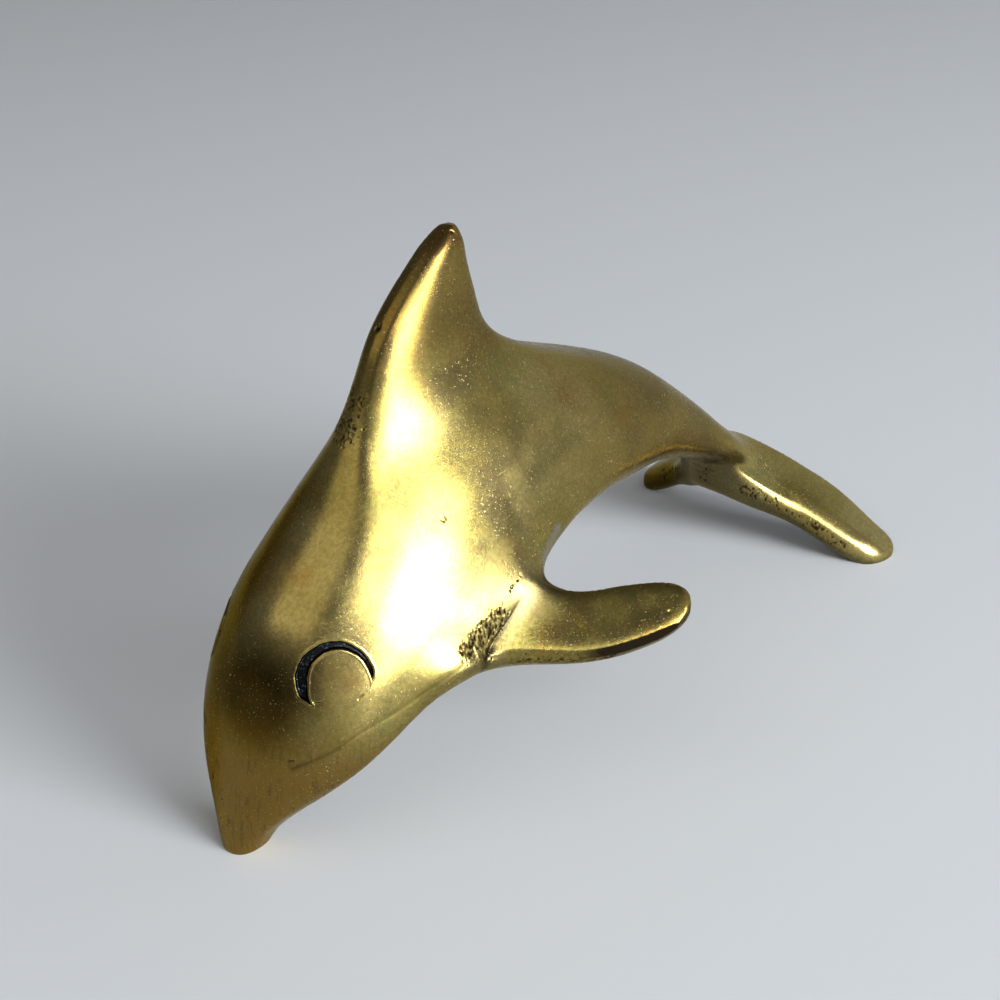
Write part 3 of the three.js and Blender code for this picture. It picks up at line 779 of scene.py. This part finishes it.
# Where the figure's parts begin and where they are fully reached, in mm along an axis
brassZones = {
    "aft": ("X", -22, 12),
    "loins": ("X", 30, 40),
    "fin": ("Z", 42, 55),
    # the far side, away from the lights, gets painted shade
    "farSide": ("Y", 0, 5),
    "low": ("Z", 19, 10),
    "fore": ("X", -38, -49),
}
# the brow, darkened with painted shade
brow = {"centre": (-51.3, -1.5, 18.5), "radii": (10.5, 3)}


def agedCastBrass(name, tone):
    # Cast brass, polished long ago: olive-gold, clouded by tarnish, with rusty and greenish patches,
    # fine bright specks painted as glints, hair scratches, black casting pits and painted shade, under a
    # thin film of old wax.
    material, tree = newMaterial(name)
    place = addNode(tree, "ShaderNodeTexCoord", output="Object")
    share = {}

    for layer, (size, shift, detail, levels) in brassClouds.items():
        stretch, turn = brassLines.get(layer, ((1, 1, 1), (0, 0, 0)))
        moved = addNode(tree, "ShaderNodeMapping", {
            "Vector": place, "Location": [n * metre for n in shift], "Scale": stretch, "Rotation": turn})
        share[layer] = addNode(tree, "ShaderNodeTexNoise", {
            "Vector": moved, "Scale": 1 / (size * metre), "Detail": detail, "Roughness": 0.55})
        if levels:
            share[layer] = addNode(tree, "ShaderNodeMapRange", (share[layer], *levels), **softStep)

    for layer, (size, radius, cellShare, shift) in brassSpots.items():
        moved = addNode(tree, "ShaderNodeMapping", {"Vector": place, "Location": [n * metre for n in shift]})
        cells = addNode(tree, "ShaderNodeTexVoronoi", {
            "Vector": moved, "Scale": 1 / (size * metre)}).node.outputs
        draw = addNode(tree, "ShaderNodeSeparateColor", [cells["Color"]])
        chosen = addNode(tree, "ShaderNodeMath", (draw, 1 - cellShare), operation="GREATER_THAN")
        near = addNode(
            tree, "ShaderNodeMapRange", (cells["Distance"], radius / size, 0.4 * radius / size), **softStep)
        share[layer] = addNode(tree, "ShaderNodeMath", (near, chosen), operation="MULTIPLY")

    ways = addNode(tree, "ShaderNodeSeparateXYZ", [place]).node.outputs
    for zone, (axis, start, full) in brassZones.items():
        share[zone] = addNode(
            tree, "ShaderNodeMapRange", (ways[axis], start * metre, full * metre), **softStep)
    fromBrow = addNode(
        tree, "ShaderNodeVectorMath", (place, [n * metre for n in brow["centre"]]), output="Value",
        operation="DISTANCE")
    share["brow"] = addNode(
        tree, "ShaderNodeMapRange", (fromBrow, *(n * metre for n in brow["radii"])), **softStep)

    # marks that the pieces carry
    for mark in ("pit", "groove", "castSkinAndShade", "smear"):
        share[mark] = addNode(tree, "ShaderNodeAttribute", output="Fac", attribute_name=mark)

    for result, operation, first, second in (
        ("tail", "SUBTRACT", "aft", "loins"),
        ("dark", "MAXIMUM", "tail", "fin"),
        ("waxless", "MAXIMUM", "farSide", "brow"),
        ("snout", "MULTIPLY", "low", "fore"),
        ("filing", "MULTIPLY", "snout", "filing"),
        ("flecks", "MAXIMUM", "flecks", "specks"),
        ("flecks", "MULTIPLY", "flecks", "fleckFields"),
        ("scratches", "MAXIMUM", "scratchesAlong", "scratchesDown"),
        ("tiny", "MAXIMUM", "holes", "pinholes"),
        ("dirt", "MAXIMUM", "pit", "tiny"),
    ):
        share[result] = addNode(tree, "ShaderNodeMath", (share[first], share[second]), operation=operation)

    paint = {part: linearColour(code) for part, code in tone.items() if isinstance(code, str)}
    paint["mottle"] = addNode(tree, "ShaderNodeCombineColor", [share["mottle"]] * 3)
    paint["grit"] = addNode(
        tree, "ShaderNodeMix", {0: share["grit"], 6: paint["groove"], 7: paint["sand"]}, output=2,
        data_type="RGBA")

    # the tarnish is darker on the fin and towards the tail, painted shade darkens the far side and the brow,
    # and the snout is browner
    colour = paint["clean"]
    for where, strength, above, mode in (
        ("olive", 1, "olive", "MIX"),
        ("rusty", 1, "rusty", "MIX"),
        ("green", 1, "green", "MIX"),
        (None, 1, "mottle", "MULTIPLY"),
        ("dark", 1, "tarnish", "MULTIPLY"),
        ("farSide", 1, "farSideShade", "MULTIPLY"),
        ("brow", 1, "browShade", "MULTIPLY"),
        ("snout", 0.85, "snout", "MIX"),
        # pale specks: painted glints on spots of clean metal
        ("flecks", 0.6, "glintFleck", "MIX"),
        ("filing", 0.35, "dirt", "MIX"),
        # dark cast skin on the undersides, painted shade in the filed crease and by the armpit
        ("castSkinAndShade", 0.88, "castSkinAndShade", "MIX"),
        ("smear", 0.9, "filler", "MIX"),
        ("groove", 1, "grit", "MIX"),
    ):
        cover = strength
        if where:
            cover = addNode(tree, "ShaderNodeMath", (share[where], strength), operation="MULTIPLY")
        colour = addNode(
            tree, "ShaderNodeMix", {0: cover, 6: colour, 7: paint[above]}, output=2,
            data_type="RGBA", blend_type=mode)

    rough = addNode(tree, "ShaderNodeMath", (share["haze"], tone["roughness"]), operation="ADD")
    for where, amount in (("dirt", 0.4), ("scratches", 0.08), ("flecks", tone["fleckHaze"])):
        rough = addNode(tree, "ShaderNodeMath", (share[where], amount, rough), operation="MULTIPLY_ADD")

    # relief in millimetres
    relief = 0.0
    for where, height in (
        ("grain", 0.008), ("ripples", 0.006), ("flecks", -0.003), ("scratches", -0.004), ("tiny", -0.03),
        ("filing", -0.012),
    ):
        relief = addNode(tree, "ShaderNodeMath", (share[where], height, relief), operation="MULTIPLY_ADD")
    bump = addNode(tree, "ShaderNodeBump", {"Distance": metre, "Height": relief})

    film = addNode(
        tree, "ShaderNodeMapRange", (share["waxless"], 0, 1, tone["film"], tone["thinFilm"]), **softStep)
    brass = addNode(tree, "ShaderNodeBsdfPrincipled", {
        "Base Color": colour, "Metallic": 1.0, "Roughness": rough, "Normal": bump,
        "Specular Tint": paint["edge"], "Coat Weight": film, "Coat Roughness": 0.32})
    dull = addNode(tree, "ShaderNodeBsdfDiffuse", {"Color": paint["dirt"]})
    both = addNode(tree, "ShaderNodeMixShader", (share["dirt"], brass, dull))
    addNode(tree, "ShaderNodeOutputMaterial", {"Surface": both})
    material.diffuse_color = paint["clean"]
    return material


brassTone = {
    "clean": "#a39152",
    "olive": "#867633",
    "rusty": "#8f6c28",
    "green": "#7b7e3c",
    "snout": "#7a5a0a",
    "tarnish": "#cec08c",  # multiplies the colour where the tarnish is darker
    # painted shade, multiplied in on the far side and on the brow
    "farSideShade": "#b5a565",
    "browShade": "#6e5f2c",
    "edge": "#d8cca4",
    # painted glints
    "glintFleck": "#e9dfae",
    "dirt": "#1b150d",
    # dark cast skin, and painted shade in the creases
    "castSkinAndShade": "#2a2110",
    "filler": "#98948b",
    "groove": "#14171c",
    "sand": "#6d7478",
    "fleckHaze": 0.33,  # how much rougher the flecks are
    "roughness": 0.225,
    "film": 0.45,  # share of old wax, and what is left of it on the far side and the brow
    "thinFilm": 0.1,
}
castBrass = agedCastBrass("aged cast brass", brassTone)

# The flippers, cast apart, are a shade darker, partly as painted shade for the dark surroundings their faces
# reflect
flipperTone = dict(brassTone, clean="#95833c", olive="#7c6d32", film=0.3, fleckHaze=0.1)
flipperBrass = agedCastBrass("darker cast brass", flipperTone)

# Silver-grey brazing filler, dressed flush with the brass and stained by it
fillerTone = dict(brassTone, clean="#958549", olive="#7d7040", rusty="#84682f", film=0.3)
brazingFiller = agedCastBrass("brazing filler", fillerTone)
print("materials made")


# Casting pits, in Geometry Nodes


def pitTree():
    tree = bpy.data.node_groups.new("castingPits", "GeometryNodeTree")
    tree.interface.new_socket("Geometry", in_out="OUTPUT", socket_type="NodeSocketGeometry")
    for name, kind in (
        ("Geometry", "Geometry"), ("Pit Spacing", "Float"), ("Pit Radius", "Float"), ("Pit Depth", "Float"),
        ("Raggedness", "Float"), ("Seed", "Float"), ("Finish", "Material"),
    ):
        tree.interface.new_socket(name, in_out="INPUT", socket_type="NodeSocket" + kind)
    given = addNode(tree, "NodeGroupInput").node.outputs
    here = addNode(tree, "GeometryNodeInputPosition")
    thick, outwards, dented = [
        addNode(tree, "GeometryNodeInputNamedAttribute", {"Name": name}, data_type=kind)
        for name, kind in (("pitted", "FLOAT"), ("outward", "FLOAT_VECTOR"), ("dented", "FLOAT"))]

    # ragged cells, drawn out a little along the height
    place = addNode(tree, "ShaderNodeVectorMath", (here, (1.1, 1.1, 0.6)), operation="MULTIPLY")
    scale = addNode(tree, "ShaderNodeMath", (1.0, given["Pit Spacing"]), operation="DIVIDE")
    finer = addNode(tree, "ShaderNodeMath", (scale, 2.2), operation="MULTIPLY")
    ragged = addNode(
        tree, "ShaderNodeTexNoise", {"Vector": place, "Scale": finer, "Detail": 2.0}, output="Color")
    centred = addNode(tree, "ShaderNodeVectorMath", (ragged, (0.5, 0.5, 0.5)), operation="SUBTRACT")
    far = addNode(tree, "ShaderNodeMath", (given["Raggedness"], given["Pit Spacing"]), operation="MULTIPLY")
    wander = addNode(tree, "ShaderNodeVectorMath", {0: centred, "Scale": far}, operation="SCALE")
    moved = addNode(tree, "ShaderNodeVectorMath", (place, wander), operation="ADD")
    cells = addNode(tree, "ShaderNodeTexVoronoi", {
        "Vector": moved, "W": given["Seed"], "Scale": scale},
        voronoi_dimensions="4D").node.outputs

    # a cell has a pit where its own draw is below the share of pits there, and more pits are larger
    draw = addNode(tree, "ShaderNodeSeparateXYZ", [cells["Color"]])
    chosen = addNode(tree, "ShaderNodeMath", (draw, thick), operation="LESS_THAN")
    reach = addNode(tree, "ShaderNodeMath", (given["Pit Radius"], given["Pit Spacing"]), operation="DIVIDE")
    growth = addNode(tree, "ShaderNodeMath", (thick, 0.6, 0.6), operation="MULTIPLY_ADD")
    reach = addNode(tree, "ShaderNodeMath", (reach, growth), operation="MULTIPLY")
    rim, floor = [
        addNode(tree, "ShaderNodeMath", (reach, share), operation="MULTIPLY") for share in (1.5, 0.6)]
    hollow = addNode(tree, "ShaderNodeMapRange", (cells["Distance"], rim, floor), **softStep)
    pit = addNode(tree, "ShaderNodeMath", (hollow, chosen), operation="MULTIPLY")

    depth = addNode(tree, "ShaderNodeMath", (pit, given["Pit Depth"]), operation="MULTIPLY")
    inwards = addNode(tree, "ShaderNodeMath", (depth, -1.0), operation="MULTIPLY")
    sunk = addNode(tree, "ShaderNodeVectorMath", {0: outwards, "Scale": inwards}, operation="SCALE")
    skin = addNode(tree, "GeometryNodeSetPosition", {"Geometry": given["Geometry"], "Offset": sunk})
    dark = addNode(tree, "ShaderNodeMath", (pit, dented), operation="MAXIMUM")
    stored = addNode(
        tree, "GeometryNodeStoreNamedAttribute", {"Geometry": skin, "Name": "pit", "Value": dark})
    real = addNode(tree, "GeometryNodeRealizeInstances", {"Geometry": stored})
    finished = addNode(tree, "GeometryNodeSetMaterial", {"Geometry": real, "Material": given["Finish"]})
    addNode(tree, "NodeGroupOutput", {"Geometry": finished})
    return tree


pitNodes = pitTree()


def setInput(modifier, name, value):
    for item in modifier.node_group.interface.items_tree:
        if item.item_type == "SOCKET" and item.in_out == "INPUT" and item.name == name:
            modifier[item.identifier] = value


# Pieces

seam = {
    "standoff": 0.4,  # from the widest part of the flank
    "gap": 0.3,
    "fillerThickness": 0.8,
    "endX": 64.0,  # the seams are ahead of the loins
    "room": 1.2,  # how far inside the seam the chest's faces begin
}
belowMiddle = np.arange(-1, 0.001, 0.02)  # of the half height, from the belly up
roundness = (1 - abs(belowMiddle) ** figure["bellySquareness"]) ** (1 / figure["backSquareness"])
widestFlank = max(
    (half * (1 - swell * belowMiddle) * roundness).max()
    for half, swell in ([curve(angle) for curve in bodyCurves[2:]] for angle in range(3, 91)))
seamY = widestFlank + seam["standoff"]
flipperFaceY = seamY + 2 * seam["gap"] + seam["fillerThickness"]
print("seam at", round(seamY, 3), "flipper's face at", round(flipperFaceY, 3))


def cutAt(mesh, faces, point, away):
    # cuts faces off beyond a plane and closes the cut, taking them in order so that each run is the same
    edges, corners = [e for f in faces for e in f.edges], [v for f in faces for v in f.verts]
    geometry = list(dict.fromkeys([*faces, *edges, *corners]))
    bmesh.ops.bisect_plane(mesh, geom=geometry, dist=1e-5, plane_co=point, plane_no=away, clear_outer=True)
    rim = [edge for edge in mesh.edges if edge.is_boundary]
    caps = bmesh.ops.holes_fill(mesh, edges=rim, sides=0)["faces"]
    for cap in caps:
        cap.normal_update()
        if cap.normal.dot(Vector(away)) < 0:
            cap.normal_flip()
        cap[mesh.faces.layers.int["cut"]] = 1


def chestFaces(mesh, side):
    # the faces of the flipper and the flank round its root
    return [face for face in mesh.faces if all(
        v.co.x < seam["endX"] and side * v.co.y > seamY - seam["room"] for v in face.verts)]


def finishedPiece(name, mesh, node, material):
    data = bpy.data.meshes.new(name)
    mesh.to_mesh(data)
    mesh.free()
    points = np.empty(len(data.vertices) * 3)
    data.vertices.foreach_get("co", points)
    points = points.reshape(-1, 3)
    slope = slopeOf(carvedDistance, points, 0.012)  # finer, because the groove's lips are narrow
    slope /= np.linalg.norm(slope, axis=1)[:, None]
    values = {
        "pitted": pittedness(points),
        "groove": between(eyeEdge(points), eye["sandFrom"]),
        "dented": dentedness(points),
        # dark cast skin on the undersides and painted shade in the crease and by the armpit
        "castSkinAndShade": castSkinAndShadeShare(points, slope),
        "smear": smearedness(points),
    }
    for attributeName, value in values.items():
        attribute = data.attributes.new(attributeName, "FLOAT", "POINT")
        attribute.data.foreach_set("value", value.astype(np.float32))
    attribute = data.attributes.new("outward", "FLOAT_VECTOR", "POINT")
    attribute.data.foreach_set("vector", slope.astype(np.float32).ravel())
    low, high = (np.array(corner) for corner in cadBox)
    placed = np.clip((points - [middleX, 0, 0]) * metre, low, high)
    data.vertices.foreach_set("co", placed.astype(np.float32).ravel())
    data.update()
    piece = bpy.data.objects.new(name, data)
    bpy.context.collection.objects.link(piece)

    modifier = piece.modifiers.new("castingPits", "NODES")
    modifier.node_group = pitNodes
    for inputName, value in (
        ("Pit Spacing", castingPits["spacing"] * metre), ("Pit Radius", castingPits["radius"] * metre),
        ("Pit Depth", castingPits["depth"] * metre), ("Raggedness", castingPits["raggedness"]),
        ("Seed", float(castingPits["seed"])), ("Finish", material),
    ):
        setInput(modifier, inputName, value)
    depsgraph = bpy.context.evaluated_depsgraph_get()
    pitted = bpy.data.meshes.new_from_object(
        piece.evaluated_get(depsgraph), preserve_all_data_layers=True, depsgraph=depsgraph)
    piece.modifiers.remove(modifier)
    piece.data = pitted
    pitted.name = name
    bpy.data.meshes.remove(data)

    # exact normals off the form itself, but the mesh's own inside the pits and on the cuts
    count = len(pitted.vertices)
    own = np.empty(count * 3, np.float32)
    pitted.vertex_normals.foreach_get("vector", own)
    pit = np.empty(count, np.float32)
    pitted.attributes["pit"].data.foreach_get("value", pit)
    normals = np.where((pit > 0.02)[:, None], own.reshape(-1, 3), slope)
    corner = np.empty(len(pitted.loops), int)
    pitted.loops.foreach_get("vertex_index", corner)
    cut = np.empty(len(pitted.polygons), int)
    pitted.attributes["cut"].data.foreach_get("value", cut)
    ofCorner = normals[corner]
    pitted.polygons.foreach_set("use_smooth", np.ones(len(pitted.polygons), bool))
    for face in np.flatnonzero(cut):
        polygon = pitted.polygons[face]
        ofCorner[polygon.loop_start : polygon.loop_start + polygon.loop_total] = polygon.normal
    pitted.normals_split_custom_set(ofCorner.tolist())
    for attributeName in ("pitted", "outward", "dented", "cut"):
        pitted.attributes.remove(pitted.attributes[attributeName])

    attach(piece, "root")
    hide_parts(node)
    triangles = sum(polygon.loop_total - 2 for polygon in pitted.polygons)
    print(name, "made:", triangles, "triangles")
    return piece


skin.faces.layers.int.new("cut")
cutAt(skin, list(skin.faces), (0, 0, 0), (0, 0, -1))
for side, sideName in ((-1, "left"), (1, "right")):
    chest = skin.copy()
    keep = set(chestFaces(chest, side))
    bmesh.ops.delete(chest, geom=[face for face in chest.faces if face not in keep], context="FACES")
    cutAt(chest, list(chest.faces), (0, side * seamY, 0), (0, -side, 0))
    blade = chest.copy()
    cutAt(blade, list(blade.faces), (0, side * flipperFaceY, 0), (0, -side, 0))
    finishedPiece(sideName + "FlipperBlade", blade, sideName + "_flipper", flipperBrass)
    cutAt(chest, list(chest.faces), (0, side * flipperFaceY, 0), (0, side, 0))
    finishedPiece(
        sideName + "BrazedSeam", chest, sideName + "_flipper_braze", brazingFiller)
    cutAt(skin, chestFaces(skin, side), (0, side * seamY, 0), (0, side, 0))
finishedPiece("dolphinCasting", skin, "body", castBrass)


# Floor, lights and camera

floorPlan = {"size": 6.0, "colour": "#cccfd0"}


def makeFloor():
    data = bpy.data.meshes.new("floor")
    half = floorPlan["size"] / 2
    corners = [(-half, -half, 0), (half, -half, 0), (half, half, 0), (-half, half, 0)]
    data.from_pydata(corners, [], [(0, 1, 2, 3)])
    plane = bpy.data.objects.new("floor", data)
    bpy.context.collection.objects.link(plane)
    material, tree = newMaterial("pale matt paint")
    shader = addNode(tree, "ShaderNodeBsdfPrincipled", {
        "Base Color": linearColour(floorPlan["colour"]), "Roughness": 0.7, "Specular IOR Level": 0.2})
    addNode(tree, "ShaderNodeOutputMaterial", {"Surface": shader})
    data.materials.append(material)


makeFloor()

# Directions in degrees: turn from +X towards +Y, rise over the table, and roll about the light's own
# axis. Sizes are in metres, and brightness is the light's own radiance.
lights = {
    "window": {
        "turn": -87, "rise": 7.4, "roll": 2, "away": 1.1, "size": (0.61, 1.02), "brightness": 17,
        "colour": "#f4f8ff"},
    "windowSide": {
        "turn": -97, "rise": 25, "roll": 45, "away": 1.1, "size": (0.28, 1.12), "brightness": 8,
        "colour": "#f4f8ff"},
    "curtain": {
        "turn": -60, "rise": 20, "roll": -9, "away": 1.15, "size": (0.36, 1.4), "brightness": 0.3,
        "colour": "#fff8ea"},
    "wall": {
        "turn": 0, "rise": 12, "roll": -20, "away": 1.2, "size": (2.3, 1.1), "brightness": 0.5,
        "colour": "#e6eefa"},
    "ceiling": {
        "turn": 174, "rise": 46, "roll": 4, "away": 1.2, "size": (1.25, 0.85), "brightness": 0.88,
        "colour": "#fff8ea"},
    "doorway": {
        "turn": -122, "rise": 10, "roll": 0, "away": 1.2, "size": (0.8, 0.5), "brightness": 0.45,
        "colour": "#fff8ea"},
}
room = {"light": "#f6f8ff", "strength": 0.17, "aim": 0.02}  # the lights face a point this far up


def makeLight(name, plan):
    data = bpy.data.lights.new(name, "AREA")
    data.shape = "RECTANGLE"
    data.size, data.size_y = plan["size"]
    data.energy = plan["brightness"] * math.pi * data.size * data.size_y
    data.color = linearColour(plan["colour"])[:3]
    light = bpy.data.objects.new(name, data)
    turn, rise = math.radians(plan["turn"]), math.radians(plan["rise"])
    way = Vector((math.cos(turn) * math.cos(rise), math.sin(turn) * math.cos(rise), math.sin(rise)))
    light.location = way * plan["away"] + Vector((0, 0, room["aim"]))
    roll = Quaternion((0, 0, 1), math.radians(plan["roll"]))
    light.rotation_euler = (way.to_track_quat("Z", "Y") @ roll).to_euler()
    light.visible_camera = False
    bpy.context.collection.objects.link(light)


for lightName, plan in lights.items():
    makeLight(lightName, plan)

world = bpy.data.worlds.new("room")
world.use_nodes = True
world.node_tree.nodes.clear()
background = addNode(world.node_tree, "ShaderNodeBackground", {
    "Color": linearColour(room["light"]), "Strength": room["strength"]})
addNode(world.node_tree, "ShaderNodeOutputWorld", {"Surface": background})
bpy.context.scene.world = world

camera = {"place": (-160.15, -129.0, 125.7), "turn": 40.496, "pitch": 26.574, "lens": 64.8}


def makeCamera():
    data = bpy.data.cameras.new("camera")
    data.lens, data.sensor_width = camera["lens"], 36.0
    data.clip_start, data.clip_end = 0.005, 50.0
    viewer = bpy.data.objects.new("camera", data)
    turn, pitch = math.radians(camera["turn"]), math.radians(camera["pitch"])
    forward = Vector((math.cos(turn) * math.cos(pitch), math.sin(turn) * math.cos(pitch), -math.sin(pitch)))
    viewer.location = Vector(camera["place"]) * metre
    viewer.rotation_euler = forward.to_track_quat("-Z", "Y").to_euler()
    bpy.context.collection.objects.link(viewer)
    bpy.context.scene.camera = viewer


makeCamera()
bpy.context.scene.view_settings.view_transform = "Standard"

print("scene ready")
